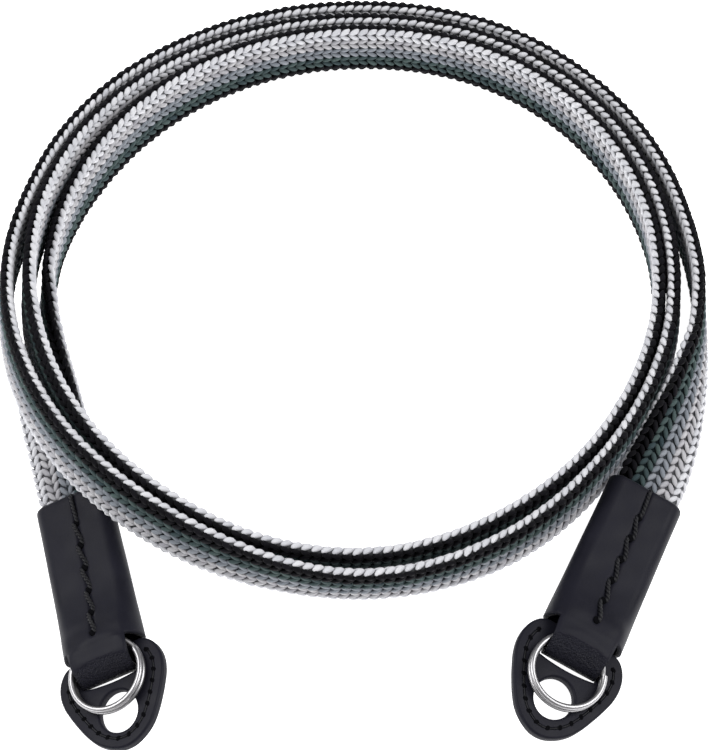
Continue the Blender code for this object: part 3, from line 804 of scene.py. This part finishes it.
def makeSleeve(side):
    halfThick = sleeveThickness() / 2
    halfWide = sleeveWidth() / 2
    straight = halfWide - halfThick
    swelling = sleeveSwelling()
    arc = np.linspace(0, math.pi, sleeve["arcColumns"] + 2)[1:-1]
    us = np.concatenate([np.linspace(-straight, straight, sleeve["topColumns"]),
                         straight + halfThick * np.sin(arc),
                         np.linspace(straight, -straight, sleeve["bottomColumns"]),
                         -straight - halfThick * np.sin(arc[::-1])])
    vs = np.concatenate([np.full(sleeve["topColumns"], halfThick), halfThick * np.cos(arc),
                         np.full(sleeve["bottomColumns"], -halfThick), halfThick * np.cos(arc[::-1])])
    length = leatherEnds["sleeveLength"]
    xs = np.linspace(-length, 0, int(length / sleeve["rowPitch"]) + 1)
    x = xs[:, None] + 0 * us[None, :]
    share = 1 + xs / length
    wide = smoothThrough(sleeve["sections"], 1, share)[:, None]
    swell = smoothThrough(sleeve["sections"], 2, share)[:, None]
    inset = sleeve["softEdge"] * np.exp(-(xs + length) / sleeve["softEdgeRun"])[:, None]
    y = us * wide * (1 - inset / halfWide)
    crown = 1 - np.minimum(np.abs(us) / halfWide, 1)**6
    z = vs * (1 - inset / halfThick) + swelling * swell * crown * (vs > 0)
    # the relief fades out down the rounded sides
    z = z + topRelief(side, x, y) * np.clip(vs / halfThick, 0, 1)**4
    # the top's columns run on as the tab
    n = len(us)
    tabColumns = [k for k in range(n) if vs[k] > 0 and abs(y[-1, k]) <= sleeve["tabHalfWidth"]]
    tabColumns.sort(key=lambda k: us[k])
    reach = ends[side]["tabReach"]
    topZ = halfThick + swelling
    line = tabLine(reach, topZ, -halfThick)
    edgeY, edgeZ = y[-1, tabColumns], z[-1, tabColumns]
    narrow = sleeve["tabFoldHalfWidth"] / np.max(np.abs(edgeY))
    points = [np.stack([x, y, z], axis=-1).reshape(-1, 3)]
    crease = [creaseShare(x, y).ravel()]
    for place, height in line:
        share = float(smoothStep((place if height > 0 else reach) / reach))
        flatness = 1 - share
        tabY = edgeY * (1 + (narrow - 1) * share)
        relief = topRelief(side, np.full(len(tabY), place), tabY) * flatness
        tabZ = height + (edgeZ - topZ) * flatness * (height > 0) + relief * (place >= 0)
        points.append(np.stack([np.full(len(tabY), place), tabY, tabZ], axis=-1))
        crease.append(creaseShare(place, tabY) if height > 0 else np.full(len(tabY), 1.0))
    faces = [(r * n + k, (r + 1) * n + k, (r + 1) * n + (k + 1) % n, r * n + (k + 1) % n)
             for r in range(len(xs) - 1) for k in range(n)]
    base, m = len(xs) * n, len(tabColumns)
    previous = [(len(xs) - 1) * n + k for k in tabColumns]
    for r in range(len(line)):
        current = [base + r * m + k for k in range(m)]
        faces += [(previous[k], current[k], current[k + 1], previous[k + 1]) for k in range(m - 1)]
        previous = current
    piece = endPiece("sleeve_leather_" + side, side, np.concatenate(points), faces, leather)
    piece.data.attributes.new("crease", "FLOAT", "POINT").data.foreach_set(
        "value", np.concatenate(crease).astype(np.float32))
    piece.data.materials.append(leatherEdge)
    solid = piece.modifiers.new("wall", "SOLIDIFY")
    solid.thickness = leatherEnds["wall"] * mm * sleeve["leatherShare"]
    solid.offset = -1
    solid.material_offset_rim = 1
    bakeModifiers(piece)
    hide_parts("sleeve_" + side)


def surfaceHeight(x):
    # the sleeve's top face at a place, for what lies on it
    share = 1 + x / leatherEnds["sleeveLength"]
    swell = float(smoothThrough(sleeve["sections"], 2, share)[0])
    return sleeveThickness() / 2 + sleeveSwelling() * swell


seamThread = {
    "plyRadius": 0.27,
    "plyOffset": 0.22,
    "twist": 1.7,               # length of one turn of the plies
    "zigzag": 0.60,             # a stitch begins and ends that far beside the seam's line
    "overRimZigzag": 0.3,       # share of it on the last stitch
    "pointsPerStitch": 30,
    "sides": 8,
    "rise": 0.18,
    "dip": 0.55,                # into a hole
}


def makeSeamThread(side):
    # a stitch between each two holes, the last one over the mouth's rim
    look = seamThread
    shapes = []
    holes = stitchPlaces(side)
    rim = -leatherEnds["sleeveLength"]
    stops = holes + [(rim - 0.1, float(seamLine(side, rim)))]
    for k, (start, finish) in enumerate(zip(stops, stops[1:])):
        overRim = k == len(stops) - 2
        t = np.linspace(0, 1, look["pointsPerStitch"])
        x = start[0] + (finish[0] - start[0]) * t
        aside = look["zigzag"] * np.cos(math.pi * t) * (look["overRimZigzag"] if overRim else 1)
        y = start[1] + (finish[1] - start[1]) * t + aside
        height = np.array([surfaceHeight(v) for v in x])
        bow = np.sin(math.pi * t)
        rise = look["rise"] * bow**0.5 - look["dip"] * (1 - bow**0.35)
        if overRim:
            # it stays up and turns down into the mouth at its very end
            rise = np.where(t > 0.5, 0.10 - 0.9 * smoothStep((t - 0.86) / 0.14), rise)
        middle = np.stack([x, y, height + rise], axis=-1)
        direction = unit(np.gradient(middle, axis=0))
        sideways = unit(np.cross(direction, [0, 0, 1]))
        up = np.cross(sideways, direction)
        turns = abs(finish[0] - start[0]) / look["twist"]
        for ply in (0, math.pi):
            turn = (2 * math.pi * turns * t + ply)[:, None]
            strand = middle + look["plyOffset"] * (np.cos(turn) * sideways + np.sin(turn) * up)
            shapes.append(tubeAlong(strand, look["plyRadius"], look["sides"]))
    points, faces = joinShapes(shapes)
    piece = endPiece("seam_thread_" + side, side, points, faces, thread)
    # a dark flattened ball sunk in each hole: painted shade
    points, faces = joinShapes([ballAt((x, y, surfaceHeight(x) - 0.12), sleeve["holeBall"],
                                       sleeve["holeTurn"]) for x, y in holes])
    piece = endPiece("seam_hole_shade_" + side, side, points, faces, holeShade)


flap = {
    # outline: share of the length, share of the half width
    "outline": [(0.0, 0.66), (0.03, 0.79), (0.10, 0.91), (0.19, 0.98), (0.29, 1.0), (0.40, 0.97),
                (0.52, 0.89), (0.64, 0.79), (0.76, 0.67), (0.87, 0.52), (0.95, 0.33), (1.0, 0.10)],
    "outlinePoints": 140,
    "edgeRound": 0.55,
    "roundSteps": 4,
    "holePoints": 72,
    "holeLength": 8.6,
    "holeWidth": 8.0,
    "holePlace": 0.63,
    "slotLength": 12.2,
    "slotBeforeFold": 1.5,
    "slotSag": 0.6,             # the slot's far side is curved
    "slotPoints": 15,
    "stitchInset": 2.05,
    "stitches": 18,
    "grooveRadius": 0.34,
    "grooveRise": 0.12,         # middle of the groove above the flap's face
    "grooveEnds": 6,            # outline points left out at each end
    "threadRadius": 0.16,
    "threadDepth": 0.20,
    "holeBall": (0.62, 0.48, 0.14),     # half sizes of the painted shade in a stitch's hole
    "holeTurn": 0.9,            # radians from the border's line
}


def flapOutline(side):
    reach = ends[side]["flapLength"] - leatherEnds["flapStart"]
    corners = [(leatherEnds["flapStart"] + reach * a, leatherEnds["flapWidth"] / 2 * b)
               for a, b in flap["outline"]]
    corners += [(x, -y) for x, y in reversed(corners)]
    run = runAlong(corners)
    table = [(run[k], *corners[k]) for k in range(len(corners))]
    s = np.linspace(0, run[-1], flap["outlinePoints"])
    return np.stack([smoothThrough(table, 1, s), smoothThrough(table, 2, s)], axis=-1)


def cutFlap(side):
    # the flap's flat shape with its hole and slot, its edges rounded
    row = ends[side]
    start, reach = leatherEnds["flapStart"], row["flapLength"] - leatherEnds["flapStart"]
    turn = np.linspace(0, 2 * math.pi, flap["holePoints"], endpoint=False)
    hole = np.stack([start + reach * flap["holePlace"] + flap["holeLength"] / 2 * np.cos(turn),
                     flap["holeWidth"] / 2 * np.sin(turn)], axis=-1)
    near = row["tabReach"] - leatherEnds["wall"] - flap["slotBeforeFold"]
    far = row["tabReach"] + row["slotOpen"]
    across = np.linspace(-1, 1, flap["slotPoints"])
    halfSlot = flap["slotLength"] / 2
    slot = ([(near, -halfSlot), (near, halfSlot)]
            + [(far - flap["slotSag"] * a * a, halfSlot * a) for a in across[::-1]])
    curve = bpy.data.curves.new("flapCut", "CURVE")
    curve.dimensions = "2D"
    curve.fill_mode = "BOTH"
    curve.extrude = (leatherEnds["flapThickness"] / 2 - flap["edgeRound"]) * mm
    curve.bevel_depth = flap["edgeRound"] * mm
    curve.bevel_resolution = flap["roundSteps"]
    curve.offset = -flap["edgeRound"] * mm
    for loop in (flapOutline(side), hole, slot):
        spline = curve.splines.new("POLY")
        spline.points.add(len(loop) - 1)
        for point, (x, y) in zip(spline.points, loop):
            point.co = (x * mm, y * mm, 0, 1)
        spline.use_cyclic_u = True
    maker = addObject("flapCut", curve)
    bpy.context.view_layer.update()
    mesh = bpy.data.meshes.new_from_object(maker.evaluated_get(bpy.context.evaluated_depsgraph_get()))
    bpy.data.objects.remove(maker)
    shape = bmesh.new()
    shape.from_mesh(mesh)
    bmesh.ops.remove_doubles(shape, verts=shape.verts, dist=0.00001)
    bmesh.ops.recalc_face_normals(shape, faces=shape.faces)
    shape.to_mesh(mesh)
    shape.free()
    return mesh


def borderPath(side):
    # the line of the border's stitches
    outline = flapOutline(side)
    middle = (leatherEnds["flapStart"] + ends[side]["flapLength"]) / 2
    inward = unit(np.gradient(outline, axis=0)) @ np.array([[0, 1], [-1, 0]])
    turned = np.sum(inward * (np.array([middle, 0]) - outline), axis=1, keepdims=True) > 0
    inward = np.where(turned, inward, -inward)
    return (outline + inward * flap["stitchInset"])[flap["grooveEnds"]:-flap["grooveEnds"]]


def makeFlap(side):
    mesh = cutFlap(side)
    mesh.materials.clear()
    mesh.materials.append(leather)
    mesh.materials.append(leatherEdge)
    piece = addObject("flap_leather_" + side, mesh)
    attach(piece, "root")
    piece.matrix_world = endMatrix(side) @ Matrix.Translation((0, 0, -leatherEnds["flapDrop"] * mm))
    # a groove for the border's thread, on both faces
    path = borderPath(side)
    for height in (1, -1):
        level = np.full(len(path), height * (leatherEnds["flapThickness"] / 2 + flap["grooveRise"]))
        points, faces = tubeAlong(np.column_stack([path, level]), flap["grooveRadius"], 8)
        tool = bpy.data.meshes.new("groove")
        tool.from_pydata((points * mm).tolist(), [], faces)
        groove = addObject("groove", tool)
        groove.matrix_world = piece.matrix_world
        cut = piece.modifiers.new("groove", "BOOLEAN")
        cut.operation = "DIFFERENCE"
        cut.object = groove
        cut.solver = "EXACT"
        bakeModifiers(piece)
        bpy.data.objects.remove(groove)
    mesh = piece.data
    for face in mesh.polygons:
        face.material_index = 1 if abs(face.normal.z) < 0.5 else 0
    mesh.shade_smooth()
    mesh.set_sharp_from_angle(angle=math.radians(38))
    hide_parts("flap_" + side)


def makeBorderThread(side):
    # the thread lies in the groove and dips into a hole at each stitch's end
    path = borderPath(side)
    run = runAlong(path)
    stops = np.linspace(0.6, run[-1] - 0.6, flap["stitches"])
    top = leatherEnds["flapThickness"] / 2 - leatherEnds["flapDrop"]

    def placeAt(s):
        return np.stack([np.interp(s, run, path[:, 0]), np.interp(s, run, path[:, 1])], axis=-1)

    strands, holes = [], []
    for k, s in enumerate(stops):
        x, y = placeAt(s)
        ahead = placeAt(s + 0.1) - (x, y)
        angle = math.atan2(ahead[1], ahead[0])
        # a dark flattened ball at each stitch's end: painted shade in its hole
        holes.append(ballAt((x, y, top - 0.02), flap["holeBall"], angle + flap["holeTurn"]))
        if k + 1 < len(stops):
            t = np.linspace(0, 1, 14)
            height = top - flap["threadDepth"] + 0.16 * np.sin(math.pi * t)**0.6
            strand = np.column_stack([placeAt(s + (stops[k + 1] - s) * t), height])
            strands.append(tubeAlong(strand, flap["threadRadius"], 8))
    for name, shapes, material in (("border_thread_", strands, thread),
                                   ("border_hole_shade_", holes, holeShade)):
        points, faces = joinShapes(shapes)
        endPiece(name + side, side, points, faces, material)


ring = {
    "turns": 1.92,
    "splitAngle": 140,          # where the wire's lower end lies, in degrees
    "pointsPerTurn": 100,
    "sides": 18,
    "colour": "#a9a8aa",
    "roughness": (0.33, 0.39),
    "scratchesPerMm": 1.5,      # coarser than real so that they show
}


def steelMaterial():
    # spring steel wire, drawn, wound and tumbled: bright, with soft reflections and faint scratches
    smoothest, roughest = ring["roughness"]
    material, tree, shader = newMaterial("polishedSpringSteel", ring["colour"], smoothest,
                                         {"Metallic": 1.0})
    place = addNode(tree, "ShaderNodeTexCoord")
    scratch = addNode(tree, "ShaderNodeTexNoise", {"Scale": 1000 * ring["scratchesPerMm"], "Detail": 6.0},
                      {"Vector": place.outputs["Object"]})
    gloss = addNode(tree, "ShaderNodeMapRange", {"To Min": smoothest, "To Max": roughest},
                    {"Value": scratch.outputs["Fac"]})
    tree.links.new(gloss.outputs["Result"], shader.inputs["Roughness"])
    return material


steel = steelMaterial()


def makeRing(side):
    wire = leatherEnds["ringWire"]
    radius = ringLine()
    count = int(ring["pointsPerTurn"] * ring["turns"])
    turn = ring["turns"] * np.arange(count + 1) / count
    angle = 2 * np.pi * turn + math.radians(ring["splitAngle"])
    # the wire steps up from its lower to its upper turn
    stepStart = ring["turns"] - 1
    step = smoothStep((turn - stepStart) / (1 - stepStart))
    flapTop = leatherEnds["flapThickness"] / 2 - leatherEnds["flapDrop"]
    lying = flapTop + leatherEnds["fitGap"] + ringHeight() / 2
    height = lying + (wire + leatherEnds["ringCoilGap"]) * (step - 0.5)
    path = np.stack([ends[side]["ringPlace"] + radius * np.cos(angle), radius * np.sin(angle), height],
                    axis=-1)
    points, faces = tubeAlong(path, wire / 2, ring["sides"])
    piece = endPiece("ring_wire_" + side, side, points, faces, steel)
    piece.data.set_sharp_from_angle(angle=math.radians(60))
    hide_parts("ring_" + side)


for side in ends:
    makeSleeve(side)
    makeSeamThread(side)
    makeFlap(side)
    makeBorderThread(side)
    makeRing(side)
print("leather ends and rings made")


studio = {
    "elevation": 60.0,
    "distance": 560.0,
    "aimFromCoilMiddle": (0.6, -16.75),
    "focalLength": 2688.0,          # in pixels of the photo
    "longSide": 750,                # pixels
    "sensor": 36.0,
    "floor": "#ffffff",
    "floorHalfSize": 1.5,           # metres
    "floorGlow": 0.95,              # the sheet is lit from below, so the shadows stay faint
    "sky": 0.32,
    # name, place in metres, size in metres, watts
    "lamps": [("leftLamp", (-0.75, 0.05, 0.85), 0.7, 8.5),
              ("rightLamp", (0.75, -0.05, 0.85), 0.7, 8.5)],
}


def makeCamera():
    camera = addObject("photoCamera", bpy.data.cameras.new("photoCamera"))
    elevation = math.radians(studio["elevation"])
    aim = Vector((shift[0] + studio["aimFromCoilMiddle"][0], shift[1] + studio["aimFromCoilMiddle"][1],
                  shift[2])) * mm
    reach = studio["distance"] * mm
    camera.location = aim + Vector((0, -math.cos(elevation), math.sin(elevation))) * reach
    camera.rotation_euler = (math.pi / 2 - elevation, 0, 0)
    camera.data.sensor_width = studio["sensor"]
    camera.data.lens = studio["sensor"] * studio["focalLength"] / studio["longSide"]
    camera.data.clip_start = 0.01
    bpy.context.scene.camera = camera


def makeStudio():
    # opal acrylic sheet, cast and sanded matt, with lamps below it: plain white, without gloss
    material, tree, shader = newMaterial("litAcrylicSheet", studio["floor"], 0.9,
                                         {"Specular IOR Level": 0.0,
                                          "Emission Strength": studio["floorGlow"]})
    shader.inputs["Emission Color"].default_value = linear(studio["floor"])
    mesh = bpy.data.meshes.new("floor")
    r = studio["floorHalfSize"]
    mesh.from_pydata([(-r, -r, 0), (r, -r, 0), (r, r, 0), (-r, r, 0)], [], [(0, 1, 2, 3)])
    mesh.materials.append(material)
    floor = addObject("floor", mesh)
    world = bpy.data.worlds.new("studio")
    world.use_nodes = True
    world.node_tree.nodes["Background"].inputs["Color"].default_value = (1, 1, 1, 1)
    world.node_tree.nodes["Background"].inputs["Strength"].default_value = studio["sky"]
    bpy.context.scene.world = world
    for name, place, size, power in studio["lamps"]:
        light = bpy.data.lights.new(name, "AREA")
        light.energy = power
        light.size = size
        lamp = addObject(name, light)
        lamp.location = place
        lamp.rotation_euler = (-Vector(place)).to_track_quat("-Z", "Y").to_euler()
    bpy.context.scene.view_settings.view_transform = "Standard"


makeCamera()
makeStudio()
print("camera and studio set")
